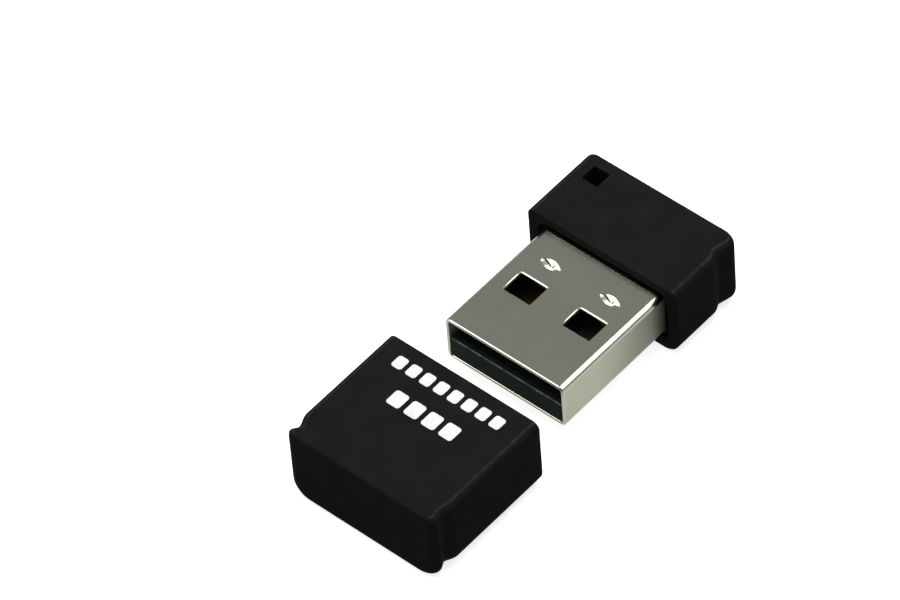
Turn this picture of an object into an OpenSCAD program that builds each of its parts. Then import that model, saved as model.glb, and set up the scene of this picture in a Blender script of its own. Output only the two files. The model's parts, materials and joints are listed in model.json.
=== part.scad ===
// Short USB Type-A flash drive with a pull-off cap, shown with its cap just pulled off.
// X runs across the drive, Y from the closed end of the cap to the back of the housing, Z up.
// The origin is on the surface the drive lies on, under the middle of drive and cap together.

/* [Housing and cap] */
// Width of the housing and of the cap
case_w = 15.1; // [14.8:0.1:16]
// Height of the housing and of the cap
case_h = 7.1; // [6.9:0.1:8]
// Radius of the two upper long edges of housing and cap
top_r = 0.7; // [0.5:0.1:1.4]
// Radius of the two lower long edges of housing and cap
under_r = 1.5; // [1.0:0.1:1.6]
// Depth of the rear housing, from its front rim to its back
housing_d = 7.7; // [7.4:0.1:9]
// Depth of the cap, from its mouth to its closed end
cap_d = 12.5; // [12.4:0.1:14]
// Gap between the cap's mouth and the tip of the plug while the cap is off
rest_gap = 4.5; // [4:0.5:12]

/* [Grip groove] */
// Width of the lip behind the groove of the housing
housing_lip = 0.6; // [0.4:0.05:0.8]
// Width of the groove of the housing
housing_groove_w = 2.5; // [2:0.1:2.6]
// Width of the lip at the closed end of the cap
cap_lip = 0.4; // [0.3:0.05:0.8]
// Width of the groove of the cap
cap_groove_w = 2.2; // [2:0.1:3]
// Depth of the grooves on the narrow sides: both of the cap's, the right one of the housing
groove_side = 0.32; // [0.1:0.02:0.36]
// Depth of the cap's grooves on its top and underside
groove_flat = 0.18; // [0.1:0.02:0.3]

/* [Print on the cap] */
// Width and height of each mark in the row by the mouth
mark_size = [1.0, 1.2]; // [0.8:0.05:1.3]
// Width and height of each mark in the second row
mark2_size = [1.3, 1.5]; // [0.8:0.05:1.6]
// Distance of the first row's middle from the mouth
mark_row_y = 1.9; // [1.5:0.1:3]
// Distance of the second row's middle from the mouth
mark2_row_y = 4.8; // [4:0.1:6]

/* [Plug] */
// Width of the plug
plug_w = 12.0; // [11.9:0.05:12.1]
// Height of the plug
plug_h = 4.5; // [4.4:0.05:4.6]
// Length of the plug that stands out of the housing
plug_l = 11.8; // [11.75:0.01:11.85]
// Thickness of the sheet that the plug is folded from
sheet = 0.3; // [0.25:0.01:0.32]
// Outer bend radius of the sheet
sheet_r = 0.55; // [0.45:0.05:0.7]
// Size of each latch window, across and along the plug
window_size = [2.6, 2.05]; // [2:0.05:2.7]
// Distance of the window centres from the plug's middle
window_x = 3; // [2.6:0.05:3.3]
// Distance of the window centres from the plug's tip
window_y = 6.15; // [6:0.05:6.8]
// Distance of the pressed lances from the plug's tip
lance_y = 9.2; // [9:0.1:9.9]

/* [Lanyard hole] */
// Size of the square hole through the corner of the housing, across and along
lanyard_size = [1.6, 1.6]; // [1.5:0.1:2]
// Distance of the hole's centre from the side and from the back of the housing
lanyard_inset = [2.2, 1.9]; // [1.8:0.1:2.4]

/* [Inside] */
// Thickness of the plug's plastic tongue, with the contacts
tongue_h = 1.95; // [1.9:0.01:1.95]
// Distance of the tongue's front from the plug's tip
tongue_recess = 0.1; // [0.05:0.05:0.6]
// Thickness of the circuit substrate
substrate_t = 0.25; // [0.2:0.01:0.3]
// Thickness of the contact plating with its copper
contact_t = 0.05; // [0.03:0.01:0.06]

/* [Hidden] */
$fn = 64;
cut = 1;

// Places along Y
whole_l = cap_d + rest_gap + plug_l + housing_d;
cap_back = -whole_l / 2;
cap_mouth = cap_back + cap_d;
plug_tip = cap_mouth + rest_gap;
housing_front = plug_tip + plug_l;
housing_back = housing_front + housing_d;

// Heights
mid_z = case_h / 2;
plug_floor = mid_z - plug_h / 2 + sheet;
inner_r = sheet_r - sheet / 2;
carrier_floor_t = 0.4;
mould_floor = plug_floor + carrier_floor_t;
tongue_top = plug_floor + tongue_h;
substrate_top = tongue_top - contact_t;
substrate_under = substrate_top - substrate_t;

// Housing and what it holds
fit_gap = 0.02;
collar_recess = 0.35;
collar_wall = 0.5;
collar_size = [plug_w + 2 * collar_wall, plug_h + 2 * collar_wall];
collar_r = sheet_r + collar_wall;
pocket_d = 4.1;
pocket_end = housing_front + pocket_d;
core_wall = 0.9;
core_left = -3.6;
core_right = case_w / 2 - core_wall - 0.2;
shell_inside = 3.8;
lanyard_x = -case_w / 2 + lanyard_inset[0];
lanyard_y = housing_back - lanyard_inset[1];

// Cap
cavity_gap = 0.125;
cavity_size = [plug_w + 2 * cavity_gap, plug_h + 2 * cavity_gap];
cavity_r = sheet_r + cavity_gap;
cavity_d = plug_l + 0.1;
rib_r = 0.3;
rib_stand = 0.09;
rib_x = 4.9;
rib_d = 8.0;
ink_t = 0.02;
mark_r = 0.25;
mark_count = 8;
mark_step = 1.4;
mark2_count = 4;
mark2_step = 1.75;

// Lances: each is a lens cut by two arcs, bent inwards
lance_w = 1.9;
lance_l = 0.9;
lance_t = 0.12;
lance_slit = 0.12;
lance_r = (lance_w * lance_w / 4 + lance_l * lance_l / 4) / lance_l;

// Tongue and module
module_w = plug_w - 2 * sheet - 0.1;
lip_t = 0.5;
tongue_front = plug_tip + tongue_recess;
module_front = tongue_front + lip_t;
module_l = 14.3;
module_back = module_front + module_l;
carrier_lip_h = 1.0;

// Contacts: distance from the middle, width, and start and end from the plug's tip
outer_contact_x = 3.5;
inner_contact_x = 1.0;
outer_contact = [2.0, 2.6, 10.6];
inner_contact = [1.3, 3.6, 10.6];
test_pad = [0.7, 0.9];
test_pad_step = 1.1;
test_pad_count = 8;
test_pad_y = 14.2;

// Chips: [x, distance of the centre from the plug's tip, width, length, height]
film_t = 0.05;
flash_1 = [0, 11.0, 8.4, 6.4, 0.20];
flash_2 = [0, 10.5, 8.4, 6.4, 0.20];
controller = [-2.6, 4.3, 3.0, 2.6, 0.25];
crystal_can = [2.4, 3.2, 2.0, 1.6, 0.45];
bulk = [4.5, 5.2, 0.8, 1.6, 0.80];
ferrite = [2.6, 5.3, 1.6, 0.8, 0.60];
esd = [4.6, 2.8, 0.6, 1.0, 0.45];
small_caps = [for (x = [-4.8, 0.2]) for (y = [3.2, 5.2]) [x, y, 0.5, 1.0, 0.50]];
small_resistors = [for (x = [1.0, 3.6]) [x, 6.6, 1.0, 0.5, 0.35]];
chip_end = 0.25;
passives = concat([bulk, ferrite, esd], small_caps, small_resistors);
pocket_gap = 0.05;
bond_r = 0.2;
wire_r = 0.03;
bond_step = 0.4;
flash_bonds = 16;
controller_bonds = 6;
bond_room = 2 * bond_r + 2 * wire_r;

// A rectangle with round corners, centred on the origin
module rounded_rect(size, r) {
    square([size[0] - 2 * r, size[1]], center = true);
    square([size[0], size[1] - 2 * r], center = true);
    for (sx = [-1, 1])
        for (sy = [-1, 1])
            translate([sx * (size[0] / 2 - r), sy * (size[1] / 2 - r)])
                circle(r);
}

// A bar with round long edges, along Y from y0 to y1, centred on the plug's axis
module bar(size, r, y0, y1) {
    translate([0, y1, mid_z])
        rotate([90, 0, 0])
            linear_extrude(y1 - y0)
                rounded_rect(size, r);
}

// A block from its low corner to its high corner
module block(low, high) {
    translate(low)
        cube(high - low);
}

// The outline of housing and cap, its upper corners tighter than its lower ones
module case_section() {
    translate([0, (under_r - top_r) / 2])
        square([case_w, case_h - top_r - under_r], center = true);
    for (end = [[1, top_r], [-1, under_r]]) {
        r = end[1];
        translate([0, end[0] * case_h / 4])
            square([case_w - 2 * r, case_h / 2], center = true);
        for (sx = [-1, 1])
            translate([sx * (case_w / 2 - r), end[0] * (case_h / 2 - r)])
                circle(r);
    }
}

// The solid body of a case along Y from y0 to y1
module case_body(y0, y1) {
    translate([0, y1, mid_z])
        rotate([90, 0, 0])
            linear_extrude(y1 - y0)
                case_section();
}

// Radius of an arc with this chord and this depth
function arc_r(chord, depth) = (chord * chord / 4 + depth * depth) / (2 * depth);

// A shallow groove across a narrow side of a case, centred on y; s is -1 or 1
module side_groove(s, y, width) {
    r = arc_r(width, groove_side);
    translate([s * (case_w / 2 - groove_side + r), y, -cut])
        cylinder(h = case_h + 2 * cut, r = r);
}

// A shallow groove across the top (s = 1) or the underside (s = -1) of a case
module flat_groove(s, y, width) {
    r = arc_r(width, groove_flat);
    translate([-case_w / 2 - cut, y, mid_z + s * (case_h / 2 - groove_flat + r)])
        rotate([0, 90, 0])
            cylinder(h = case_w + 2 * cut, r = r);
}

// A flat chip under the substrate, or a pocket for it when grown by room
module chip(c, drop = 0, room = 0) {
    low = [c[0] - c[2] / 2 - room, plug_tip + c[1] - c[3] / 2 - room,
        substrate_under - drop - c[4] - room];
    high = [c[0] + c[2] / 2 + room, plug_tip + c[1] + c[3] / 2 + room,
        substrate_under - drop];
    block(low, high);
}

// A chip's metal end caps, on its shorter sides
module chip_ends(c) {
    along_x = c[2] > c[3];
    for (s = [-1, 1]) {
        end = along_x ? [chip_end, c[3]] : [c[2], chip_end];
        shift = along_x ? [s * (c[2] - chip_end) / 2, 0] : [0, s * (c[3] - chip_end) / 2];
        chip([c[0] + shift[0], c[1] + shift[1], end[0], end[1], c[4]]);
    }
}

// A two-ended surface-mount chip, its ends a little thicker than its body
module end_capped_chip(c, colour) {
    slim = 0.03;
    body = [c[0], c[1], c[2] - (c[2] < c[3] ? 2 * slim : 0), c[3] - (c[2] > c[3] ? 2 * slim : 0),
        c[4] - slim];
    color(colour)
        chip(body);
    color("silver")
        chip_ends(c);
}

// One gold contact on the tongue
module contact(x, c) {
    color("gold")
        block([x - c[0] / 2, plug_tip + c[1], substrate_top],
            [x + c[0] / 2, plug_tip + c[2], tongue_top]);
}

// Half-ring wires between a die's edge and the substrate
module bonds(count, x_mid, y, z) {
    for (i = [0 : count - 1])
        translate([x_mid + (i - (count - 1) / 2) * bond_step, y, z])
            rotate([90, 0, 90])
                rotate([0, 0, 180])
                    rotate_extrude(angle = 180, $fn = 24)
                        translate([bond_r, 0])
                            circle(wire_r, $fn = 16);
}

module rear_housing() {
    color([0.07, 0.07, 0.075])
        difference() {
            case_body(housing_front, housing_back);
            side_groove(1, housing_back - housing_lip - housing_groove_w / 2,
                housing_groove_w);
            bar(collar_size + [2 * fit_gap, 2 * fit_gap], collar_r, housing_front - cut,
                pocket_end);
            block([core_left, pocket_end - cut, core_wall],
                [core_right, housing_back - core_wall, case_h - core_wall]);
            translate([lanyard_x, lanyard_y, mid_z])
                cube([lanyard_size[0], lanyard_size[1], case_h + 2 * cut], center = true);
        }
}

module plug_collar() {
    color([0.05, 0.05, 0.055])
        difference() {
            bar(collar_size, collar_r, housing_front + collar_recess, pocket_end);
            bar([plug_w + 2 * fit_gap, plug_h + 2 * fit_gap], sheet_r,
                housing_front, pocket_end + cut);
        }
}

// A lens seen from above, where two upright cylinders cross
module lens(length, r, tall) {
    shift = r - length / 2;
    intersection() {
        translate([0, shift, 0])
            cylinder(h = tall, r = r);
        translate([0, -shift, 0])
            cylinder(h = tall, r = r);
    }
}

module plug_shell() {
    shell_back = housing_front + shell_inside;
    top = mid_z + plug_h / 2;
    seam = 0.04;
    color([0.66, 0.66, 0.64])
        difference() {
            bar([plug_w, plug_h], sheet_r, plug_tip, shell_back);
            bar([plug_w - 2 * sheet, plug_h - 2 * sheet], inner_r,
                plug_tip - cut, shell_back + cut);
            for (sx = [-1, 1]) {
                translate([sx * window_x, plug_tip + window_y, mid_z])
                    cube([window_size[0], window_size[1], plug_h + 2 * cut], center = true);
                translate([sx * window_x, plug_tip + lance_y, top - lance_t])
                    lens(lance_l, lance_r, cut);
                translate([sx * window_x, plug_tip + lance_y - lance_l / 4, top - sheet / 2])
                    cube([lance_w * 0.7, lance_slit, 2 * sheet], center = true);
            }
            translate([0, plug_tip + plug_l / 2, mid_z - plug_h / 2])
                cube([seam, 3 * plug_l, 4 * sheet], center = true);
        }
}

module tongue_carrier() {
    carrier_back = module_back + lip_t;
    color([0.13, 0.15, 0.14])
        intersection() {
            union() {
                block([-module_w / 2, tongue_front, plug_floor],
                    [module_w / 2, carrier_back, mould_floor]);
                block([-module_w / 2, tongue_front, plug_floor],
                    [module_w / 2, module_front, tongue_top]);
                block([-module_w / 2, module_back, plug_floor],
                    [module_w / 2, carrier_back, plug_floor + carrier_lip_h]);
            }
            bar([module_w, plug_h - 2 * sheet], inner_r, tongue_front, carrier_back);
        }
}

module substrate() {
    color([0.05, 0.16, 0.1])
        block([-module_w / 2, module_front, substrate_under],
            [module_w / 2, module_back, substrate_top]);
}

module contact_vbus() {
    contact(outer_contact_x, outer_contact);
}

module contact_data_minus() {
    contact(inner_contact_x, inner_contact);
}

module contact_data_plus() {
    contact(-inner_contact_x, inner_contact);
}

module contact_ground() {
    contact(-outer_contact_x, outer_contact);
}

module test_pads() {
    color("gold")
        for (i = [0 : test_pad_count - 1]) {
            x = (i - (test_pad_count - 1) / 2) * test_pad_step;
            block([x - test_pad[0] / 2, plug_tip + test_pad_y - test_pad[1] / 2, substrate_top],
                [x + test_pad[0] / 2, plug_tip + test_pad_y + test_pad[1] / 2, tongue_top]);
        }
}

module encapsulation() {
    color([0.1, 0.1, 0.11])
        difference() {
            block([-module_w / 2, module_front, mould_floor],
                [module_w / 2, module_back, substrate_under]);
            for (c = passives)
                chip(c, 0, pocket_gap);
            chip(crystal_can, 0, pocket_gap);
            chip([controller[0], controller[1], controller[2], controller[3] + 2 * bond_room,
                2 * controller[4]], 0, pocket_gap);
            chip([flash_1[0], (flash_1[1] + flash_2[1]) / 2, flash_1[2],
                flash_1[3] + flash_1[1] - flash_2[1] + bond_room, 0.75], 0, pocket_gap);
        }
}

module controller_die() {
    color([0.35, 0.36, 0.4])
        chip(controller, film_t);
}

module flash_die_first() {
    color([0.4, 0.4, 0.45])
        chip(flash_1, film_t);
}

module flash_die_second() {
    color([0.42, 0.42, 0.47])
        chip(flash_2, 2 * film_t + flash_1[4]);
}

module film(c, drop) {
    chip([c[0], c[1], c[2], c[3], film_t], drop);
}

module die_attach_films() {
    color([0.75, 0.7, 0.55])
        union() {
            film(controller, 0);
            film(flash_1, 0);
            film([flash_1[0], (flash_1[1] + flash_2[1]) / 2, flash_1[2],
                flash_1[3] - flash_1[1] + flash_2[1]], film_t + flash_1[4]);
        }
}

module bond_wires() {
    under = substrate_under - wire_r - 0.02;
    color("gold")
        union() {
            bonds(flash_bonds, 0, plug_tip + flash_1[1] + flash_1[3] / 2 + bond_r + wire_r + 0.02,
                under);
            for (s = [-1, 1])
                bonds(controller_bonds, controller[0], plug_tip + controller[1]
                    + s * (controller[3] / 2 + bond_r + wire_r + 0.02), under);
        }
}

module crystal() {
    lid_inset = 0.15;
    lid_t = 0.12;
    low_t = crystal_can[4] - lid_t;
    color([0.85, 0.83, 0.78])
        chip([crystal_can[0], crystal_can[1], crystal_can[2], crystal_can[3], low_t]);
    color("silver")
        chip([crystal_can[0], crystal_can[1], crystal_can[2] - 2 * lid_inset,
            crystal_can[3] - 2 * lid_inset, lid_t], low_t);
}

module bulk_capacitor() {
    end_capped_chip(bulk, [0.55, 0.42, 0.3]);
}

module decoupling_capacitors() {
    for (c = small_caps)
        end_capped_chip(c, [0.62, 0.5, 0.36]);
}

module ferrite_bead() {
    end_capped_chip(ferrite, [0.25, 0.25, 0.26]);
}

module esd_diode() {
    end_capped_chip(esd, [0.1, 0.1, 0.1]);
}

module pull_resistors() {
    for (c = small_resistors)
        end_capped_chip(c, [0.08, 0.08, 0.09]);
}

module cap_shell() {
    color([0.07, 0.07, 0.075])
        union() {
            difference() {
                case_body(cap_back, cap_mouth);
                for (s = [-1, 1]) {
                    side_groove(s, cap_back + cap_lip + cap_groove_w / 2, cap_groove_w);
                    flat_groove(s, cap_back + cap_lip + cap_groove_w / 2, cap_groove_w);
                }
                bar(cavity_size, cavity_r, cap_mouth - cavity_d, cap_mouth + cut);
            }
            for (sx = [-1, 1])
                for (sz = [-1, 1])
                    translate([sx * rib_x, cap_mouth - cavity_d + rib_d,
                        mid_z + sz * (cavity_size[1] / 2 + rib_r - rib_stand)])
                        rotate([90, 0, 0])
                            cylinder(h = rib_d, r = rib_r);
        }
}

// A row of marks across the cap's top, at a distance from its mouth
module mark_row(size, count, step, y) {
    for (i = [0 : count - 1])
        translate([(i - (count - 1) / 2) * step, cap_mouth - y, case_h])
            linear_extrude(ink_t)
                rounded_rect(size, mark_r);
}

module cap_print() {
    color("white") {
        mark_row(mark_size, mark_count, mark_step, mark_row_y);
        mark_row(mark2_size, mark2_count, mark2_step, mark2_row_y);
    }
}

rear_housing();
plug_collar();
plug_shell();
tongue_carrier();
substrate();
contact_vbus();
contact_data_minus();
contact_data_plus();
contact_ground();
test_pads();
encapsulation();
controller_die();
flash_die_first();
flash_die_second();
die_attach_films();
bond_wires();
crystal();
bulk_capacitor();
decoupling_capacitors();
ferrite_bead();
esd_diode();
pull_resistors();
cap_shell();
cap_print();
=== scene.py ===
"""Looks of a short USB flash drive with its cap pulled off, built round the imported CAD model.

Lengths in this script are millimetres in the row frame unless a name says otherwise.
"""

import json
import math

import bmesh
import bpy
import numpy as np
from mathutils import Matrix, Vector


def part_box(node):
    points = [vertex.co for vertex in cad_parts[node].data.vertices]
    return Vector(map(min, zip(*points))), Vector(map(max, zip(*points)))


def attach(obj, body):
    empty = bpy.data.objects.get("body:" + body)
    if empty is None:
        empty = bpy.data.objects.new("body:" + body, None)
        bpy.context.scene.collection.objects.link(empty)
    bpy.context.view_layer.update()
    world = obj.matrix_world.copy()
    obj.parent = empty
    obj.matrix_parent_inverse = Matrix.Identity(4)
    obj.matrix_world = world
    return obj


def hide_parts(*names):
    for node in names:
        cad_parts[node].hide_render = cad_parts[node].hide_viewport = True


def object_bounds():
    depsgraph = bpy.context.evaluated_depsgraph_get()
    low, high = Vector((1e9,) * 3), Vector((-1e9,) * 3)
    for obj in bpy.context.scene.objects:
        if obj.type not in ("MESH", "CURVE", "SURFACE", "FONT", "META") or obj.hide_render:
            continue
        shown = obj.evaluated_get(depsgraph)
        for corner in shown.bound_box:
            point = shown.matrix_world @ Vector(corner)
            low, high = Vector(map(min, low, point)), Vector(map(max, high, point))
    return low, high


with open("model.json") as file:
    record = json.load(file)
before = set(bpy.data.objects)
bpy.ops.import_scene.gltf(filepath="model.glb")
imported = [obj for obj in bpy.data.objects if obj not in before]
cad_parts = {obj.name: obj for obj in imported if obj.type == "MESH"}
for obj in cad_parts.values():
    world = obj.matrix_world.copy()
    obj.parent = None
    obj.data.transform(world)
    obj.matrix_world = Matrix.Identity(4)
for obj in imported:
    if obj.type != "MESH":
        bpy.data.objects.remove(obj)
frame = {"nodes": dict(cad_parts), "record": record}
cad_low, cad_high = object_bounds()

MM = 0.001

# Camera: the angles of the picture, a long lens, and the point it looks at
CAMERA_AZIMUTH = 44.42
CAMERA_ELEVATION = 48.82
CAMERA_ROLL = -5.0
CAMERA_DISTANCE = 546.0
CAMERA_LENS = 280.0
CAMERA_SENSOR = 36.0
CAMERA_AIM = (-8.2, 1.77)

# Case, which is the housing or the cap: radii of its upper and lower long edges, and how deep
# the grip groove is on the narrow and on the broad sides
TOP_R = 0.7
UNDER_R = 1.5
GROOVE_SIDE = 0.34
GROOVE_FLAT = 0.18
# Lip, width, and the shares of the width over which the groove falls from the lip and rises again
HOUSING_GROOVE = (0.6, 2.5, 0.72, 0.4)
CAP_GROOVE = (0.4, 2.2, 0.45, 0.62)
# Radii of the upright edges of the closed ends, on the left and on the right
HOUSING_CORNERS = (0.45, 0.9)
CAP_CORNERS = (0.9, 0.9)
# Radii of the upper and lower edges of the closed ends, of the rims, and of the cap's mouth inside
HOUSING_END_ROUND = 0.2
CAP_END_ROUND = 0.35
RIM_ROUND = 0.14
MOUTH_ROUND = 0.18
# How far every closed end's corners reach along the case, and from where the groove is drawn
CORNER_REACH = 0.92
GROOVE_FROM = 0.95
# Pocket of the housing round the collar, and cavity of the cap round the plug
POCKET_GAP = 0.02
POCKET_R = 1.07
POCKET_DEPTH = 4.1
CAVITY_GAP = 0.125
CAVITY_R = 0.675
CAVITY_DEPTH = 11.9
FLOOR_ROUND = 0.2
# Grip ribs in the cap
RIB_X = 4.9
RIB_LENGTH = 8.0
RIB_STAND = 0.09
RIB_WIDTH = 0.45
# Shares of a rib's length where it starts to narrow and where it would come to a point
RIB_TAPER = 0.85
RIB_END = 1.005
LANYARD = (1.6, 1.6)
LANYARD_INSET = (2.2, 1.9)
LANYARD_ROUND = 0.12
# Points nearer to each other than this are joined
WELD = 0.0005
# Edges that bend more than this many degrees stay sharp, or are rounded
SHARP_ANGLE = 50

# Tongue: rounding of its front edges, radii of its upper and lower long edges, and how far its
# floor stays under the board
TONGUE_ROUND = 0.14
TONGUE_R = (0.1, 0.25)
TONGUE_GAP = 0.01

# Plug sheet: its thickness, bend radius, the gap of its seam, and the rounding of its edges
SHEET = 0.3
SHEET_R = 0.55
SEAM = 0.04
SHEET_EDGE = 0.13
# Latch windows: size, and place from the plug's middle and from its tip
WINDOW = (2.6, 2.05)
WINDOW_AT = (3.0, 6.15)
# The upper sheet flares a little where it enters the collar: where it starts, where it is
# highest, where it is flat again, and how high it gets
FLARE = (10.8, 11.8, 12.2, 0.11)
# How far the sheet sags beside a punched window: distance from its edge, and depth
DIE_ROLL = ((0.0, 0.06), (0.15, 0.015), (0.3, 0.0))
# Pressed lances, each a lens over a slit: size, distance from the tip, how deep the back lip
# goes and how high the front lip stands
LANCE = (2.2, 0.95)
LANCE_Y = 9.2
LANCE_DEPTH = 0.3
LANCE_RAISE = 0.1
# The lens keeps at least this share of its length at its ends
LANCE_BLUNT = 0.13
# The slit runs across the lens at a slant: its offset and slope, and how far it may go to the
# front and to the back, all in half lengths of the lens
SLIT_SLANT = (-0.18, -1.13)
SLIT_REACH = (-0.72, 0.78)
SLIT_LIMIT = 0.95
# Powers that shape the swell of the back and of the front lip
LIP_SWELL = (0.6, 0.3)
# Slit of a lance: its ends across the lens (the lens reaches from -1 to 1), its widths there
SLIT_SPAN = (-0.84, 0.16)
SLIT_WIDTH = (0.2, 0.2)
# How much of its full depth the lance's back lip has at the two ends of the slit
LIP_SHARE = (0.35, 1.0)

# Painted edge highlights: the axis the surface leans to, a ramp over how far it leans, and how
# far it has to face up
LONG_EDGE_HIGHLIGHT = ("X", [(0.1, 0.0), (0.2, 1.0), (0.34, 1.0), (0.5, 0.0)], 0.9)
TONGUE_EDGE_HIGHLIGHT = ("Y", [(0.2, 0.0), (0.35, 1.0), (0.9, 1.0), (0.97, 0.0)], 0.3)
# Stretch along the plug over which its sides are painted darker towards the collar, as painted shade
PLUG_SIDE_SHADE = (2.0, 9.5)


# ---------------------------------------------------------------- meshes

def box_mm(node):
    """A CAD node's lowest and highest corner, in millimetres."""
    low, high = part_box(node)
    return low / MM, high / MM


def opening_round(node, gap):
    """Width and height of an opening with a gap all round a CAD node."""
    low, high = box_mm(node)
    return high.x - low.x + 2 * gap, high.z - low.z + 2 * gap


def new_object(name, verts, faces, smooth=True):
    """A mesh object from vertices in millimetres."""
    mesh = bpy.data.meshes.new(name)
    mesh.from_pydata([Vector(v) * MM for v in verts], [], faces)
    mesh.validate()
    mesh.update()
    mesh.polygons.foreach_set("use_smooth", [smooth] * len(mesh.polygons))
    piece = bpy.data.objects.new(name, mesh)
    bpy.context.scene.collection.objects.link(piece)
    return piece


def face_outward(piece):
    """Turns all faces of a closed skin to the outside."""
    work = bmesh.new()
    work.from_mesh(piece.data)
    bmesh.ops.recalc_face_normals(work, faces=work.faces)
    work.to_mesh(piece.data)
    work.free()
    return piece


def ring(box, radii, y, corner_steps=9, long_steps=18, short_steps=6):
    """Points of a rectangle with round corners across the Y axis, always the same number.

    box is (left, right, low, high); radii are those of the upper and of the lower corners.
    """
    left, right, low, high = box
    room = min(right - left, high - low) / 2 - 0.02
    upper, under = (max(min(r, room), 0.03) for r in radii)
    corners = [(right - upper, high - upper, upper, 0), (left + upper, high - upper, upper, 90),
               (left + under, low + under, under, 180), (right - under, low + under, under, 270)]
    points = []
    for i, (cx, cz, r, start) in enumerate(corners):
        for k in range(corner_steps + 1):
            a = math.radians(start + 90 * k / corner_steps)
            points.append((cx + r * math.cos(a), cz + r * math.sin(a)))
        next_x, next_z, next_r, next_start = corners[(i + 1) % 4]
        a = math.radians(next_start)
        x0, z0 = points[-1]
        x1, z1 = next_x + next_r * math.cos(a), next_z + next_r * math.sin(a)
        steps = long_steps if i % 2 == 0 else short_steps
        for k in range(1, steps):
            points.append((x0 + (x1 - x0) * k / steps, z0 + (z1 - z0) * k / steps))
    return [(x, y, z) for x, z in points]


def loft(name, rings):
    """A closed skin over rings of equal length, with a flat face at each end."""
    count = len(rings[0])
    verts = [p for r in rings for p in r]
    faces = [tuple(range(count))]
    for j in range(len(rings) - 1):
        for i in range(count):
            k = (i + 1) % count
            faces.append((j * count + i, (j + 1) * count + i, (j + 1) * count + k, j * count + k))
    last = (len(rings) - 1) * count
    faces.append(tuple(range(last + count - 1, last - 1, -1)))
    return face_outward(new_object(name, verts, faces))


def quarter(steps):
    """(sine, 1 - cosine) over a quarter turn, both from 0 to 1."""
    angles = [math.pi / 2 * k / steps for k in range(steps + 1)]
    return [(math.sin(a), 1 - math.cos(a)) for a in angles]


def soft_step(t):
    """A smooth step from 0 to 1 as t goes from 0 to 1."""
    t = min(max(t, 0.0), 1.0)
    return t * t * (3 - 2 * t)


def groove_depth(s, groove):
    """How deep the grip groove is at distance s from the closed end, from 0 to 1."""
    lip, width, fall, rise = groove
    t = (s - lip) / width
    return soft_step(t / fall) * soft_step((1 - t) / rise)


def rounding(s, radius):
    """How far an edge of this radius falls back at distance s from the end."""
    left = max(radius - s, 0.0)
    return radius - math.sqrt(radius * radius - left * left)


def case_rings(end_y, rim_y, low, high, end_round, corners, groove, sides, flat):
    """Outer rings of a case from its closed end to its open rim.

    end_round is the radius of the upper and lower edges of the closed end, and corners has
    those of its left and right edge; sides says how deep the groove is on the left and on the
    right side, flat on top and underside.
    """
    way = 1 if rim_y > end_y else -1
    length = abs(rim_y - end_y)
    lip, width = groove[:2]
    stations = [end_round * (1 - rise) for rise, fall in quarter(6)][::-1]
    stations += [end_round + (CORNER_REACH - end_round) * k / 9 for k in range(1, 10)]
    grooved = [lip + width * k / 24 for k in range(25)]
    stations += [s for s in grooved if s > GROOVE_FROM]
    stations += list(np.linspace(lip + width + 0.3, length - RIM_ROUND - 0.3, 6))
    stations += [length - RIM_ROUND + rise * RIM_ROUND for rise, fall in quarter(5)]
    rings = []
    for s in stations:
        depth = groove_depth(s, groove)
        rim = rounding(length - s, RIM_ROUND)
        end_flat = rounding(s, end_round)
        left, right = (GROOVE_SIDE * depth * share + rounding(s, corner) + rim
                       for share, corner in zip(sides, corners))
        upright = GROOVE_FLAT * depth * flat + end_flat + rim
        box = (low.x + left, high.x - right, low.z + upright, high.z - upright)
        shrink = rim + end_flat * 0.5
        rings.append(ring(box, (TOP_R - shrink, UNDER_R - shrink), end_y + way * s))
    return rings


def pocket_rings(rim_y, way, size, radius, depth, mid_z, edge_round):
    """Inner rings of a case from its open rim down to the floor of its pocket."""
    profile = [(fall * edge_round, edge_round * (1 - rise)) for rise, fall in quarter(4)]
    profile += [(s, 0) for s in np.linspace(edge_round + 0.4, depth - 0.3, 6)]
    profile += [(depth + FLOOR_ROUND * (rise - 1), -FLOOR_ROUND * fall) for rise, fall in quarter(3)]
    half_w, half_h = size[0] / 2, size[1] / 2
    rings = []
    for s, grow in profile:
        box = (-half_w - grow, half_w + grow, mid_z - half_h - grow, mid_z + half_h + grow)
        rings.append(ring(box, (radius + grow, radius + grow), rim_y - way * s))
    return rings


def apply_modifiers(piece):
    """Replaces the piece's mesh by what its modifiers make of it."""
    bpy.context.view_layer.update()
    evaluated = piece.evaluated_get(bpy.context.evaluated_depsgraph_get())
    piece.data = bpy.data.meshes.new_from_object(evaluated)
    piece.modifiers.clear()


def bevel(piece, width, segments=3):
    """Rounds the sharp edges of a piece."""
    modifier = piece.modifiers.new("edge_round", "BEVEL")
    modifier.width = width * MM
    modifier.segments = segments
    modifier.limit_method = "ANGLE"
    modifier.angle_limit = math.radians(SHARP_ANGLE)
    modifier.harden_normals = False
    return modifier


def even_normals(piece):
    """Keeps large flat faces flat under smooth shading."""
    modifier = piece.modifiers.new("even_normals", "WEIGHTED_NORMAL")
    modifier.mode = "FACE_AREA"
    modifier.weight = 80
    modifier.keep_sharp = True


def weld(piece):
    """Joins points that lie on each other, so no face is collapsed."""
    work = bmesh.new()
    work.from_mesh(piece.data)
    bmesh.ops.remove_doubles(work, verts=work.verts, dist=WELD * MM)
    bmesh.ops.dissolve_degenerate(work, edges=work.edges, dist=WELD * MM)
    work.to_mesh(piece.data)
    work.free()


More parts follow.
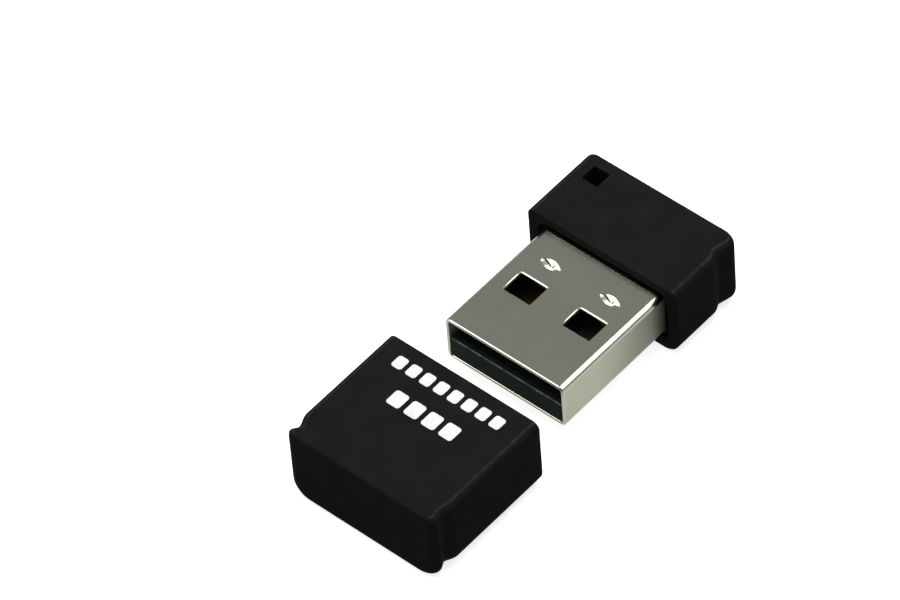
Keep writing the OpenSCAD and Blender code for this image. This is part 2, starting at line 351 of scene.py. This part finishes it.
def cut_hole(piece, centre, size, height):
    """Cuts an upright square hole through a piece and rounds its edges."""
    half = Vector((size[0] / 2, size[1] / 2, height))
    corners = [(x, y, z) for z in (-1, 1) for x, y in ((-1, -1), (1, -1), (1, 1), (-1, 1))]
    verts = [Vector(centre) + Vector((x * half.x, y * half.y, z * half.z)) for x, y, z in corners]
    faces = [(3, 2, 1, 0), (4, 5, 6, 7), (0, 1, 5, 4), (1, 2, 6, 5), (2, 3, 7, 6), (3, 0, 4, 7)]
    cutter = new_object("cutter", verts, faces, smooth=False)
    boolean = piece.modifiers.new("hole", "BOOLEAN")
    boolean.operation = "DIFFERENCE"
    boolean.solver = "EXACT"
    boolean.object = cutter
    apply_modifiers(piece)
    bpy.data.objects.remove(cutter)
    bevel(piece, LANYARD_ROUND)
    apply_modifiers(piece)
    weld(piece)


def make_housing():
    """The rear housing, with its pocket for the collar and the lanyard hole."""
    low, high = box_mm("rear_housing")
    mid_z = (low.z + high.z) / 2
    pocket = opening_round("plug_collar", POCKET_GAP)
    rings = case_rings(high.y, low.y, low, high, HOUSING_END_ROUND, HOUSING_CORNERS,
                       HOUSING_GROOVE, (0, 1), 0)
    rings += pocket_rings(low.y, -1, pocket, POCKET_R, POCKET_DEPTH, mid_z, RIM_ROUND)
    piece = loft("housing_skin", rings)
    at = (low.x + LANYARD_INSET[0], high.y - LANYARD_INSET[1], mid_z)
    cut_hole(piece, at, LANYARD, high.z)
    even_normals(piece)
    return piece


def make_cap():
    """The cap, with its cavity for the plug."""
    low, high = box_mm("cap_shell")
    mid_z = (low.z + high.z) / 2
    cavity = opening_round("plug_shell", CAVITY_GAP)
    rings = case_rings(low.y, high.y, low, high, CAP_END_ROUND, CAP_CORNERS, CAP_GROOVE, (1, 1), 1)
    rings += pocket_rings(high.y, 1, cavity, CAVITY_R, CAVITY_DEPTH, mid_z, MOUTH_ROUND)
    piece = loft("cap_skin", rings)
    even_normals(piece)
    return piece


def make_ribs():
    """Four low grip ribs along the cap's broad inner walls, as one mesh."""
    low, high = box_mm("cap_shell")
    mid_z = (low.z + high.z) / 2
    wall = opening_round("plug_shell", CAVITY_GAP)[1] / 2
    floor_y = high.y - CAVITY_DEPTH
    verts, faces = [], []
    around, along = 10, 12
    for sx in (-1, 1):
        for sz in (-1, 1):
            first = len(verts)
            for j in range(along + 1):
                t = j / along
                taper = math.sqrt(1 - max(0.0, (t - RIB_TAPER) / (RIB_END - RIB_TAPER)) ** 2)
                for i in range(around):
                    a = 2 * math.pi * i / around
                    x = sx * RIB_X + RIB_WIDTH / 2 * math.cos(a) * taper
                    z = mid_z + sz * (wall - RIB_STAND * math.sin(a) * taper)
                    verts.append((x, floor_y + RIB_LENGTH * t, z))
            for j in range(along):
                for i in range(around):
                    k = (i + 1) % around
                    p, q = first + j * around, first + (j + 1) * around
                    faces.append((p + i, p + k, q + k, q + i))
            last = first + along * around
            faces.append(tuple(range(first, first + around)))
            faces.append(tuple(range(last, last + around)))
    return face_outward(new_object("cap_ribs", verts, faces))


def make_tongue():
    """The plastic tongue in the plug: its front, and the thin floor under the board."""
    low, high = box_mm("tongue_carrier")
    board_low = box_mm("encapsulation")[0]
    stations = [(TONGUE_ROUND * (1 - rise), high.z) for rise, fall in quarter(5)][::-1]
    lip = board_low.y - low.y
    floor_top = board_low.z - TONGUE_GAP
    stations += [(lip / 2, high.z), (lip - TONGUE_GAP, high.z), (lip - TONGUE_GAP / 2, floor_top)]
    stations.append((high.y - low.y, floor_top))
    rings = []
    for s, top in stations:
        inset = rounding(s, TONGUE_ROUND)
        box = (low.x + inset, high.x - inset, low.z + inset, top - inset)
        rings.append(ring(box, TONGUE_R, low.y + s))
    piece = loft("tongue_skin", rings)
    piece.data.set_sharp_from_angle(angle=math.radians(SHARP_ANGLE))
    even_normals(piece)
    return piece


def sheet_path(half_w, half_h, window_edges, lance_xs):
    """Outer outline of the folded plug from one side of the seam round to the other.

    Returns points with their outward normals and the broad side they lie on, if any.
    """
    flat_w, flat_h = half_w - SHEET_R, half_h - SHEET_R
    bottom = sorted({SEAM / 2, 0.5, 1.0, flat_w} | set(window_edges))
    top = sorted({0.0, 0.7, flat_w} | set(window_edges) | set(lance_xs))
    top = sorted({-x for x in top} | set(top), reverse=True)
    points = [((x, -half_h), (0, -1), "under") for x in bottom]
    points += corner_points(flat_w, -flat_h, -90)
    points += [((half_w, z), (1, 0), "") for z in np.linspace(-flat_h, flat_h, 7)]
    points += corner_points(flat_w, flat_h, 0)
    points += [((x, half_h), (0, 1), "top") for x in top]
    points += corner_points(-flat_w, flat_h, 90)
    points += [((-half_w, z), (-1, 0), "") for z in np.linspace(flat_h, -flat_h, 7)]
    points += corner_points(-flat_w, -flat_h, 180)
    points += [((-x, -half_h), (0, -1), "under") for x in reversed(bottom)]
    return points


def corner_points(cx, cz, start, steps=8):
    """The inner points of a bend of the sheet, without its two ends."""
    found = []
    for k in range(1, steps):
        a = math.radians(start + 90 * k / steps)
        n = (math.cos(a), math.sin(a))
        found.append(((cx + SHEET_R * n[0], cz + SHEET_R * n[1]), n, ""))
    return found


def near_edges(centre, size):
    """The two edges of a window along one axis, and the places where the sheet's sag changes."""
    return [centre + s * (size / 2 + away) for s in (-1, 1) for away, depth in DIE_ROLL]


def window_sag(x, y):
    """How deep the sheet sags at this place beside a window."""
    across = max(abs(abs(x) - WINDOW_AT[0]) - WINDOW[0] / 2, 0.0)
    along = max(abs(y - WINDOW_AT[1]) - WINDOW[1] / 2, 0.0)
    places, depths = zip(*DIE_ROLL)
    return float(np.interp(math.hypot(across, along), places, depths))


def flare(y):
    """How far the upper sheet stands up at this distance from the tip."""
    start, crest, end, rise = FLARE
    if y <= start or y >= end:
        return 0.0
    if y < crest:
        return rise * ((y - start) / (crest - start)) ** 2
    return rise * soft_step((end - y) / (end - crest))


def lance_rows():
    """Rows of the lances: a sign for front or back, and the share of the way to the slit.

    0 is the outline of the lens, 1 the slit's edge, below 0 outside the lens.
    """
    shares = (-1.0, -0.08, 0.0, 0.12, 0.35, 0.65, 0.85, 1.0)
    return [(-1, t) for t in shares] + [(1, t) for t in reversed(shares)]


def slit_half(u):
    """Half the width of the slit at u across the lens, next to nothing outside it."""
    inside = SLIT_SPAN[0] - 0.01 < u < SLIT_SPAN[1] + 0.01
    return float(np.interp(u, SLIT_SPAN, SLIT_WIDTH)) / 2 if inside else 0.01


def lance_point(x, side, share):
    """(place along the plug, depth) of a lance row at x."""
    centre = math.copysign(WINDOW_AT[0], x)
    u = min(max((x - centre) / (LANCE[0] / 2), -1.0), 1.0)
    reach = LANCE[1] / 2
    half = reach * max(1 - u * u, LANCE_BLUNT)
    if share < 0:
        return LANCE_Y + side * (half - share * 0.5), 0.0
    slant = min(max(SLIT_SLANT[0] + SLIT_SLANT[1] * u, SLIT_REACH[0]), SLIT_REACH[1])
    slit = half * slant + side * slit_half(u)
    slit = min(max(slit, -SLIT_LIMIT * half), SLIT_LIMIT * half)
    place = side * half + (slit - side * half) * share
    swell = max(1 - u * u, 0.0)
    if side > 0:
        deepest = LANCE_DEPTH * float(np.interp(u, SLIT_SPAN, LIP_SHARE))
        return LANCE_Y + place, deepest * swell ** LIP_SWELL[0] * share
    return LANCE_Y + place, -LANCE_RAISE * swell ** LIP_SWELL[1] * share


def make_plug():
    """The plug as one folded sheet: a grid over its outline with windows, slits and lances."""
    low, high = box_mm("plug_shell")
    half_w, half_h = (high.x - low.x) / 2, (high.z - low.z) / 2
    mid_z, length = (low.z + high.z) / 2, high.y - low.y
    lance_us = sorted({-1 + k / 10 for k in range(21)} | set(SLIT_SPAN))
    lance_xs = [WINDOW_AT[0] + LANCE[0] / 2 * u for u in lance_us]
    lance_xs += [WINDOW_AT[0] - LANCE[0] / 2 * u for u in SLIT_SPAN]
    path = sheet_path(half_w, half_h, near_edges(WINDOW_AT[0], WINDOW[0]), lance_xs)
    rows = [0.0, 0.4, 1.2, 2.4, 3.6, WINDOW_AT[1], length]
    rows += list(np.linspace(FLARE[0], FLARE[1], 9)) + list(np.linspace(FLARE[1], FLARE[2], 5)[1:])
    rows = [(y, None) for y in rows + near_edges(WINDOW_AT[1], WINDOW[1])]
    rows += [(LANCE_Y + side * (0.5 - 0.45 * share), (side, share)) for side, share in lance_rows()]
    rows.sort(key=lambda row: row[0])
    verts = []
    for y, lance in rows:
        for (x, z), (nx, nz), side in path:
            place, depth = y, 0.0
            if lance and side == "top":
                place, depth = lance_point(x, *lance)
            elif lance:
                place = lance_point(-half_w, *lance)[0]
            elif side:
                depth = window_sag(x, y)
            raised = flare(y) * max(nz, 0.0)
            verts.append((x - nx * depth, low.y + place, mid_z + z - nz * depth + raised))
    faces = sheet_faces(rows, path)
    piece = new_object("plug_sheet", verts, faces)
    solid = piece.modifiers.new("sheet", "SOLIDIFY")
    solid.thickness = SHEET * MM
    solid.offset = -1
    solid.use_even_offset = False
    apply_modifiers(piece)
    round_sheet_edges(piece, low.y, mid_z, half_w, half_h)
    piece.data.set_sharp_from_angle(angle=math.radians(SHARP_ANGLE))
    even_normals(piece)
    return piece


def sheet_faces(rows, path):
    """Faces of the sheet's grid, without those of the windows and slits."""
    faces = []
    count = len(path)
    for j in range(len(rows) - 1):
        (y0, lance0), (y1, lance1) = rows[j], rows[j + 1]
        at_slit = lance0 == (-1, 1.0) and lance1 == (1, 1.0)
        for i in range(count - 1):
            x = (path[i][0][0] + path[i + 1][0][0]) / 2
            side = path[i][2] if path[i][2] == path[i + 1][2] else ""
            if side and in_window(x, (y0 + y1) / 2):
                continue
            u = (x - math.copysign(WINDOW_AT[0], x)) / (LANCE[0] / 2)
            if side == "top" and at_slit and SLIT_SPAN[0] < u < SLIT_SPAN[1]:
                continue
            a, b = j * count + i, j * count + i + 1
            faces.append((a, a + count, b + count, b))
    return faces


def in_window(x, y, slack=0.0):
    """Whether a place on a broad side lies within a window, or on its edge with some slack."""
    return abs(abs(x) - WINDOW_AT[0]) < WINDOW[0] / 2 + slack and \
        abs(y - WINDOW_AT[1]) < WINDOW[1] / 2 + slack


def round_sheet_edges(piece, tip_y, mid_z, half_w, half_h):
    """Rounds the sheet's edges at the mouth, and the outer edges of the windows."""
    def on_outside(point):
        across = max(abs(point.x) - (half_w - SHEET_R), 0.0)
        upright = max(abs(point.z - mid_z) - (half_h - SHEET_R), 0.0)
        return math.hypot(across, upright) > SHEET_R - SHEET / 2

    mesh = piece.data
    weights = mesh.attributes.new("bevel_weight_edge", "FLOAT", "EDGE")
    points = [v.co / MM for v in mesh.vertices]
    for edge in mesh.edges:
        ends = [points[k] for k in edge.vertices]
        outer = [on_outside(p) for p in ends]
        at_mouth = all(p.y < tip_y + 0.01 for p in ends)
        at_window = all(in_window(p.x, p.y - tip_y, 0.001) for p in ends)
        if at_mouth and outer[0] == outer[1]:
            weights.data[edge.index].value = 1.0 if outer[0] else 0.75
        elif at_window and all(outer):
            weights.data[edge.index].value = 1.0
    modifier = bevel(piece, SHEET_EDGE, segments=4)
    modifier.limit_method = "WEIGHT"
    modifier.use_clamp_overlap = False
    apply_modifiers(piece)


# ---------------------------------------------------------------- materials

class Nodes:
    """A small helper for building a material's node tree."""

    def __init__(self, name):
        """A new material, with its shader and the piece's own coordinates."""
        self.material = bpy.data.materials.new(name)
        self.material.use_nodes = True
        self.tree = self.material.node_tree
        self.shader = self.tree.nodes["Principled BSDF"]
        self.coordinates = self.add("ShaderNodeTexCoord")
        self.place = self.coordinates.outputs["Object"]

    def add(self, kind, **values):
        """A new node with these settings."""
        node = self.tree.nodes.new(kind)
        for key, value in values.items():
            setattr(node, key, value)
        return node

    def link(self, source, target):
        """Joins an output to an input."""
        self.tree.links.new(source, target)

    def noise(self, size, detail=2.0, rough=0.5, stretch=(1, 1, 1)):
        """Noise whose grains are about size millimetres, stretched along the axes."""
        mapping = self.add("ShaderNodeMapping")
        mapping.inputs["Scale"].default_value = [1 / s for s in stretch]
        self.link(self.place, mapping.inputs["Vector"])
        node = self.add("ShaderNodeTexNoise")
        node.inputs["Scale"].default_value = 1 / (size * MM)
        node.inputs["Detail"].default_value = detail
        node.inputs["Roughness"].default_value = rough
        self.link(mapping.outputs["Vector"], node.inputs["Vector"])
        return node.outputs["Fac"]

    def ramp(self, source, stops):
        """A colour ramp with (place, colour) stops, a colour being a number or three."""
        node = self.add("ShaderNodeValToRGB")
        elements = node.color_ramp.elements
        while len(elements) < len(stops):
            elements.new(0.5)
        for element, (place, colour) in zip(elements, stops):
            element.position = place
            rgb = colour if isinstance(colour, (tuple, list)) else (colour,) * 3
            element.color = (*rgb, 1)
        self.link(source, node.inputs["Fac"])
        return node.outputs["Color"]

    def mix(self, kind, a, b, amount=1.0):
        """Two colours mixed; b or the amount may be an output."""
        node = self.add("ShaderNodeMix", data_type="RGBA", blend_type=kind)
        for value, key in ((amount, 0), (a, 6), (b, 7)):
            if isinstance(value, bpy.types.NodeSocket):
                self.link(value, node.inputs[key])
            elif key == 0:
                node.inputs[0].default_value = value
            else:
                node.inputs[key].default_value = (*value, 1)
        return node.outputs[2]

    def range(self, source, low, high):
        """A number from 0 to 1 spread over low to high."""
        node = self.add("ShaderNodeMapRange")
        node.inputs["To Min"].default_value = low
        node.inputs["To Max"].default_value = high
        self.link(source, node.inputs["Value"])
        return node.outputs["Result"]

    def along(self, axis, span, first, last):
        """A grey going from first to last over a span of an axis, in millimetres."""
        split = self.add("ShaderNodeSeparateXYZ")
        self.link(self.place, split.inputs[0])
        node = self.add("ShaderNodeMapRange", interpolation_type="SMOOTHSTEP")
        for key, value in (("From Min", span[0] * MM), ("From Max", span[1] * MM),
                           ("To Min", first), ("To Max", last)):
            node.inputs[key].default_value = value
        self.link(split.outputs[axis], node.inputs["Value"])
        return node.outputs["Result"]

    def bump(self, source, height, strength=1.0, after=None):
        """A bump of this height in millimetres, on top of another one if given."""
        node = self.add("ShaderNodeBump")
        node.inputs["Distance"].default_value = height * MM
        node.inputs["Strength"].default_value = strength
        self.link(source, node.inputs["Height"])
        if after is not None:
            self.link(after, node.inputs["Normal"])
        return node.outputs["Normal"]

    def lean(self, axis):
        """How far the surface leans either way along an axis, and how far it faces up."""
        split = self.add("ShaderNodeSeparateXYZ")
        self.link(self.coordinates.outputs["Normal"], split.inputs[0])
        size = self.add("ShaderNodeMath", operation="ABSOLUTE")
        self.link(split.outputs[axis], size.inputs[0])
        return size.outputs[0], split.outputs["Z"]

    def facing(self, axis, least):
        """1 where the surface squarely faces either way along an axis."""
        lean = self.lean(axis)[0]
        return self.ramp(lean, [(least, 0.0), (1.0, 1.0)])

    def painted_highlight_mask(self, axis, stops, upright_from):
        """1 along upper edges that catch the light: a mask for a painted highlight, broken by noise.

        stops is a ramp over how far the surface leans towards the axis; upright_from is how far
        it has to face up.
        """
        lean, up = self.lean(axis)
        band = self.ramp(lean, stops)
        upright = self.ramp(up, [(upright_from - 0.08, 0.0), (upright_from, 1.0)])
        broken = self.ramp(self.noise(0.5, detail=3), [(0.38, 0.35), (0.6, 1.0)])
        return self.mix("MULTIPLY", band, self.mix("MULTIPLY", upright, broken))

    def finish(self, colour=None, rough=None, normal=None, **values):
        """Links colour, roughness and normal, and sets the shader's other sockets."""
        for source, key in ((colour, "Base Color"), (rough, "Roughness"), (normal, "Normal")):
            if source is not None:
                self.link(source, self.shader.inputs[key])
        for key, value in values.items():
            self.shader.inputs[key.replace("_", " ")].default_value = value
        return self.material


def around(colour, share):
    """Two colours a share darker and lighter than this one."""
    return [tuple(c * (1 - share) for c in colour), tuple(c * (1 + share) for c in colour)]


def plastic(name, colour, rough, specular, grain, highlight_edges, highlight_tone):
    """Moulded plastic: fine spark-eroded grain, flow mottling, hairline scuffs, painted edge
    highlight.
    """
    n = Nodes(name)
    dark, light = around(colour, 0.14)
    mottle = n.noise(2.4, detail=4)
    base = n.ramp(mottle, [(0.3, dark), (0.7, light)])
    scuffs = n.ramp(n.noise(0.5, detail=3, stretch=(0.12, 1.6, 1)), [(0.66, 0.0), (0.74, 1.0)])
    base = n.mix("ADD", base, tuple(c * 0.25 + 0.001 for c in colour), scuffs)
    # Painted highlight: a lighter tone added along the upper edges, in place of a reflection
    base = n.mix("ADD", base, (highlight_tone,) * 3, n.painted_highlight_mask(*highlight_edges))
    smudge = n.noise(5.0, detail=3, rough=0.6)
    roughness = n.range(n.mix("MIX", smudge, scuffs, 0.25), rough - 0.07, rough + 0.09)
    normal = n.bump(n.noise(grain, detail=3), 0.005, 0.5)
    normal = n.bump(n.noise(1.1, detail=1), 0.004, 0.3, after=normal)
    return n.finish(base, roughness, normal, Specular_IOR_Level=specular)


def nickel():
    """Nickel-plated steel sheet with faint smears and fine rolling marks, satin and with painted
    shade on its sides.
    """
    n = Nodes("nickel_sheet")
    streaks = n.noise(0.3, detail=4, rough=0.6, stretch=(0.25, 5, 0.25))
    smears = n.noise(5.0, detail=3, rough=0.5)
    base = n.ramp(streaks, [(0.25, (0.575, 0.58, 0.485)), (0.75, (0.625, 0.63, 0.525))])
    base = n.mix("MULTIPLY", base, n.ramp(smears, [(0.3, (0.96, 0.96, 0.94)), (0.7, 1.0)]), 1.0)
    roughness = n.range(n.mix("MIX", smears, streaks, 0.3), 0.12, 0.18)
    sides = n.facing("X", 0.96)
    roughness = n.mix("ADD", roughness, (0.4, 0.4, 0.4), sides)
    # Painted shade: the sides get darker towards the collar, standing in for the housing's shade in
    # their reflection
    base = n.mix("MULTIPLY", base, n.along("Y", PLUG_SIDE_SHADE, 1.0, 0.55), sides)
    normal = n.bump(streaks, 0.0004, 0.5)
    normal = n.bump(n.noise(3.0, detail=1), 0.003, 0.4, after=normal)
    return n.finish(base, roughness, normal, Metallic=1.0)


def gold():
    """Gold-plated contact with wiping marks along the plug, far darker than gold as painted shade.
    """
    n = Nodes("gold_plating")
    wipes = n.noise(0.2, detail=3, stretch=(0.2, 5, 0.2))
    # Painted shade: the gold tones are made very dark, for the shade inside the plug
    base = n.ramp(wipes, [(0.3, (0.075, 0.05, 0.02)), (0.7, (0.13, 0.088, 0.036))])
    return n.finish(base, n.range(wipes, 0.3, 0.45), n.bump(wipes, 0.002, 0.5), Metallic=1.0)


def solder_mask():
    """Black solder mask over copper traces that run along the board."""
    n = Nodes("solder_mask")
    traces = n.ramp(n.noise(0.5, detail=0, stretch=(0.4, 8, 1)), [(0.48, 0.0), (0.52, 1.0)])
    weave = n.noise(0.12, detail=2)
    base = n.mix("MIX", (0.006, 0.01, 0.008), (0.012, 0.02, 0.015), traces)
    base = n.mix("MULTIPLY", base, n.ramp(weave, [(0.3, 0.85), (0.7, 1.0)]), 1.0)
    normal = n.bump(traces, 0.015, 0.7)
    return n.finish(base, n.range(weave, 0.22, 0.4), normal)


def mould_compound():
    """Black epoxy with fine silica specks."""
    n = Nodes("mould_compound")
    specks = n.noise(0.08, detail=2)
    base = n.ramp(specks, [(0.3, (0.016, 0.016, 0.017)), (0.62, (0.03, 0.03, 0.032)),
                           (0.75, (0.09, 0.09, 0.09))])
    return n.finish(base, n.range(specks, 0.5, 0.75), n.bump(specks, 0.006, 0.6))


def silicon():
    """Polished die with the faint grid of its circuit blocks."""
    n = Nodes("silicon_die")
    brick = n.add("ShaderNodeTexBrick")
    brick.inputs["Scale"].default_value = 1 / (0.9 * MM)
    brick.inputs["Mortar Size"].default_value = 0.03
    brick.inputs["Color1"].default_value = (0.17, 0.18, 0.23, 1)
    brick.inputs["Color2"].default_value = (0.24, 0.22, 0.27, 1)
    brick.inputs["Mortar"].default_value = (0.4, 0.38, 0.32, 1)
    n.link(n.place, brick.inputs["Vector"])
    haze = n.noise(0.6, detail=3)
    base = n.mix("MULTIPLY", brick.outputs["Color"], n.ramp(haze, [(0.3, 0.8), (0.7, 1.0)]), 1.0)
    return n.finish(base, n.range(haze, 0.1, 0.25), n.bump(brick.outputs["Fac"], 0.002, 0.4),
                    Metallic=0.8)


def film():
    """Amber adhesive film with small bubbles."""
    n = Nodes("die_attach_film")
    bubbles = n.noise(0.25, detail=2)
    base = n.ramp(bubbles, [(0.3, (0.5, 0.36, 0.16)), (0.7, (0.66, 0.52, 0.27))])
    return n.finish(base, n.range(bubbles, 0.3, 0.5), n.bump(bubbles, 0.006, 0.5))


def ceramic():
    """Fired ceramic chip body with fine grain."""
    n = Nodes("chip_ceramic")
    grain = n.noise(0.1, detail=4, rough=0.7)
    base = n.ramp(grain, [(0.3, (0.27, 0.18, 0.11)), (0.7, (0.45, 0.32, 0.2))])
    return n.finish(base, n.range(grain, 0.45, 0.7), n.bump(grain, 0.005, 0.6))


def can_metal():
    """Lid of the crystal: satin metal with a crossing brush."""
    n = Nodes("crystal_can")
    brush = n.noise(0.15, detail=4, stretch=(4, 0.4, 1))
    base = n.ramp(brush, [(0.3, (0.58, 0.57, 0.54)), (0.7, (0.76, 0.75, 0.71))])
    return n.finish(base, n.range(brush, 0.25, 0.42), n.bump(brush, 0.002, 0.5), Metallic=1.0)


def ink():
    """Pad-printed white ink, a little thin and uneven, with tiny pinholes."""
    n = Nodes("white_ink")
    cover = n.noise(0.25, detail=4, rough=0.7)
    pinholes = n.noise(0.07, detail=1)
    base = n.ramp(cover, [(0.25, (0.84, 0.84, 0.84)), (0.6, (0.95, 0.95, 0.95))])
    base = n.mix("MULTIPLY", base, n.ramp(pinholes, [(0.2, 0.55), (0.27, 1.0)]), 1.0)
    return n.finish(base, n.range(cover, 0.4, 0.6), n.bump(pinholes, 0.004, 0.5),
                    Specular_IOR_Level=0.3)


def paper(name, tone, glow):
    """The pale top of a light table, with a very faint unevenness."""
    n = Nodes(name)
    cloud = n.noise(40, detail=2)
    base = n.ramp(cloud, [(0.3, tone - 0.01), (0.7, tone + 0.01)])
    return n.finish(base, n.range(cloud, 0.8, 0.9), Specular_IOR_Level=0.0,
                    Emission_Color=(1, 1, 1, 1), Emission_Strength=glow)


def paint(piece, material):
    """Gives a piece or a CAD node one material."""
    piece.data.materials.clear()
    piece.data.materials.append(material)


def slot_materials():
    """The material of each slot of the record."""
    # The last two numbers of each plastic set its painted edge highlight: where it lies and how much
    # light it adds
    case = plastic("case_plastic", (0.0135, 0.0135, 0.0137), 0.5, 0.004, 0.09, LONG_EDGE_HIGHLIGHT, 0.02)
    inner = plastic("inner_plastic", (0.007, 0.007, 0.0072), 0.55, 0.004, 0.07, LONG_EDGE_HIGHLIGHT, 0.0)
    tongue = plastic("tongue_plastic", (0.017, 0.033, 0.027), 0.5, 0.03, 0.08, TONGUE_EDGE_HIGHLIGHT, 0.3)
    return {"case_plastic": case, "inner_plastic": inner, "tongue_plastic": tongue,
            "plug_metal": nickel(), "contact_gold": gold(), "board": solder_mask(),
            "mould_compound": mould_compound(), "silicon": silicon(), "film": film(),
            "ceramic": ceramic(), "can_metal": can_metal(), "print_ink": ink()}


# ---------------------------------------------------------------- stage

def view_axes(azimuth, elevation, roll):
    """The camera's right, up and backward directions for these angles."""
    a, e, r = (math.radians(x) for x in (azimuth, elevation, roll))
    back = Vector((math.sin(a) * math.cos(e), -math.cos(a) * math.cos(e), math.sin(e)))
    level = Vector((math.cos(a), math.sin(a), 0))
    upright = back.cross(level)
    right = level * math.cos(r) + upright * math.sin(r)
    return right, back.cross(right), back


def make_camera(centre):
    """A long-lens camera at the picture's angle, aimed beside the model's middle."""
    right, up, back = view_axes(CAMERA_AZIMUTH, CAMERA_ELEVATION, CAMERA_ROLL)
    data = bpy.data.cameras.new("camera")
    data.lens = CAMERA_LENS
    data.sensor_width = CAMERA_SENSOR
    data.clip_start, data.clip_end = 0.01, 10.0
    camera = bpy.data.objects.new("camera", data)
    aim = centre + Vector((*CAMERA_AIM, 0)) * MM
    place = aim + back * CAMERA_DISTANCE * MM
    turn = Matrix((right, up, back)).transposed().to_4x4()
    camera.matrix_world = Matrix.Translation(place) @ turn
    bpy.context.scene.collection.objects.link(camera)
    bpy.context.scene.camera = camera


def softbox(name, direction, distance, size, radiance, reflected):
    """A rectangular light at a distance in metres, facing the model, of even brightness.

    It is either seen only in reflections, or lights everything without being reflected.
    """
    data = bpy.data.lights.new(name, "AREA")
    data.shape = "RECTANGLE"
    data.size, data.size_y = size
    data.energy = radiance * math.pi * size[0] * size[1]
    lamp = bpy.data.objects.new(name, data)
    way = Vector(direction).normalized()
    lamp.location = way * distance
    lamp.rotation_mode = "QUATERNION"
    lamp.rotation_quaternion = way.to_track_quat("Z", "Y")
    lamp.visible_glossy = reflected
    lamp.visible_diffuse = not reflected
    bpy.context.scene.collection.objects.link(lamp)


def make_lights():
    """A soft light from above, and two boxes that only the model's surfaces reflect."""
    softbox("overhead", (-0.2, 0.2, 1), 0.35, (0.35, 0.35), 3.2, reflected=False)
    softbox("right_box", (0.4, 0.47, 0.79), 0.3, (0.26, 0.24), 3.0, reflected=True)
    softbox("front_box", (-0.46, -0.48, 0.75), 0.3, (0.34, 0.34), 2.6, reflected=True)


def make_world(sky):
    """An even, soft sky."""
    world = bpy.data.worlds.new("studio")
    world.use_nodes = True
    background = world.node_tree.nodes["Background"]
    background.inputs["Color"].default_value = (sky, sky, sky, 1)
    background.inputs["Strength"].default_value = 1.0
    bpy.context.scene.world = world


def sheet_of_paper(name, height, material):
    """A large level sheet under the model."""
    half = 3000
    floor = new_object(name, [(-half, -half, height), (half, -half, height), (half, half, height),
                              (-half, half, height)], [(0, 1, 2, 3)], smooth=False)
    paint(floor, material)
    return floor


def make_floor():
    """A pale sheet that the camera sees, and a grey one under it that the model reflects."""
    seen = sheet_of_paper("floor", -0.02, paper("pale_paper", 0.9, 0.75))
    seen.visible_diffuse = seen.visible_glossy = False
    seen.visible_transmission = seen.visible_shadow = False
    bounce = sheet_of_paper("floor_bounce", -0.05, paper("grey_paper", 0.35, 0.45))
    bounce.visible_camera = bounce.visible_diffuse = False


# ---------------------------------------------------------------- build

def make_pieces():
    """Paints the CAD nodes and adds the detailed skins, each riding on its body."""
    slot_of = {s["node"]: s["material_slot"] for s in frame["record"]["subparts"]}
    materials = slot_materials()
    for name, node in frame["nodes"].items():
        paint(node, materials[slot_of[name]])
    skins = [(make_housing(), "drive", "rear_housing"), (make_cap(), "cap", "cap_shell"),
             (make_ribs(), "cap", "cap_shell"), (make_plug(), "drive", "plug_shell"),
             (make_tongue(), "drive", "tongue_carrier")]
    for piece, body, node in skins:
        paint(piece, materials[slot_of[node]])
        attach(piece, body)
        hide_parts(node)


make_pieces()
make_camera((cad_low + cad_high) / 2)
make_world(0.3)
make_lights()
make_floor()
bpy.context.scene.view_settings.view_transform = "Standard"
